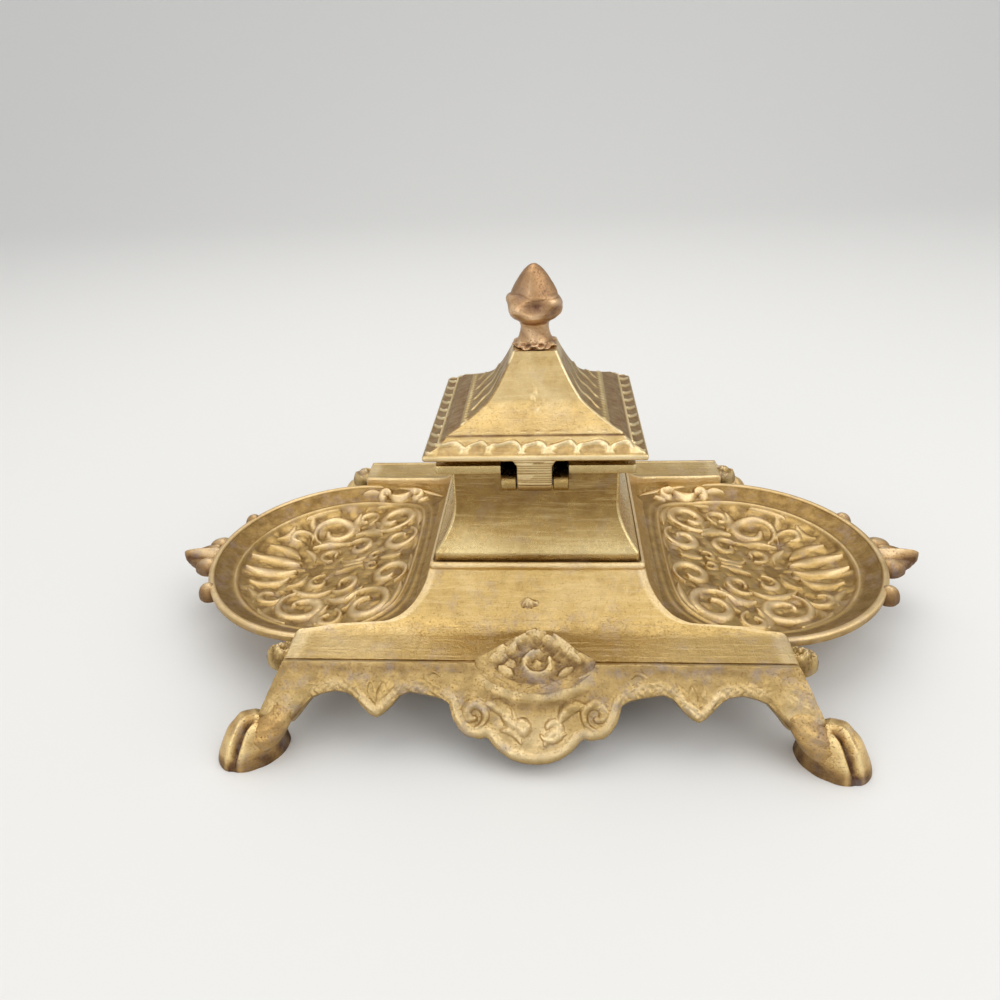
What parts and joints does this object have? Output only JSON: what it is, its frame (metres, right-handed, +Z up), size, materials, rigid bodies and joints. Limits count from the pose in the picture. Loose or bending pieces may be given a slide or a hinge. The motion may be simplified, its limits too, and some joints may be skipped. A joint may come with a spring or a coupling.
{
  "type": "desk inkstand",
  "caption": "Cast brass desk inkstand: round trays either side of a square hinged ink well with a glass pot, on scalloped aprons with hoofed feet.",
  "frame": {"origin": "on the desk, under the middle of the stand", "axes": "+Z up, +X along the stand from tray to tray, -Y the hinge side of the lid, which the picture shows in front"},
  "size_m": [0.2836, 0.1808, 0.1313],
  "materials": {
    "plate_brass": "aged, rubbed bright on the flats, brown in the relief",
    "rail_brass": "rough cast, rubbed on the edges, grey polish left in hollows",
    "box_brass": "polished and finely scratched",
    "lid_brass": "cast relief, worn on the ridges",
    "finial_bronze": "redder worn casting",
    "steel_fixings": "dull old steel",
    "brass_fixings": "dull turned brass",
    "pot_glass": "clear pressed glass"
  },
  "bodies": {
    "stand": {"tray_plate": "plate_brass", "front_leg_rail": "rail_brass", "rear_leg_rail": "rail_brass", "front_rail_screws": "steel_fixings", "rear_rail_screws": "steel_fixings", "well_box": "box_brass", "well_screw": "steel_fixings", "well_washer": "steel_fixings", "well_nut": "steel_fixings", "ink_pot": "pot_glass", "hinge_pin": "steel_fixings"},
    "lid": {"lid": "lid_brass", "finial": "finial_bronze", "finial_washer": "brass_fixings", "finial_nut": "brass_fixings"}
  },
  "joints": [
    {"name": "lid_hinge", "type": "hinge", "parent": "stand", "child": "lid", "pos_m": [0, -0.0316, 0.0706], "axis": [1, 0, 0], "range_deg": [0, 100]}
  ]
}
